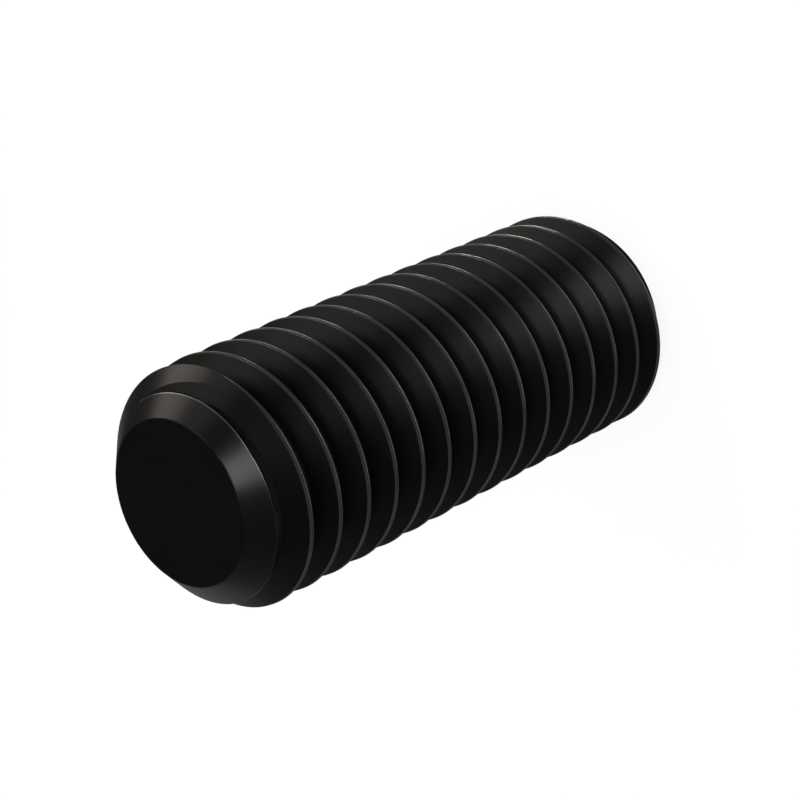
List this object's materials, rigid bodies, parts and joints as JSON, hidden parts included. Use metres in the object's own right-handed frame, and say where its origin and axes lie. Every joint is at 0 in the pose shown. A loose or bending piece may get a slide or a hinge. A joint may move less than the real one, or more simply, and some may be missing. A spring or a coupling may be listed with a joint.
{
  "type": "set screw",
  "caption": "Black headless set screw, M8 x 20: full-length right-hand thread, hex socket in one end and a chamfered flat point at the other.",
  "frame": {"origin": "centre of the socket end's face, which the screw stands on", "axes": "+Z along the screw's axis from the socket end to the flat point, +X towards a flat side of the hexagon"},
  "size_m": [0.0078, 0.0078, 0.02],
  "materials": {
    "black_oxide_steel": "black oxide, lightly oiled, satin"
  },
  "bodies": {
    "root": {"set_screw": "black_oxide_steel"}
  },
  "joints": []
}
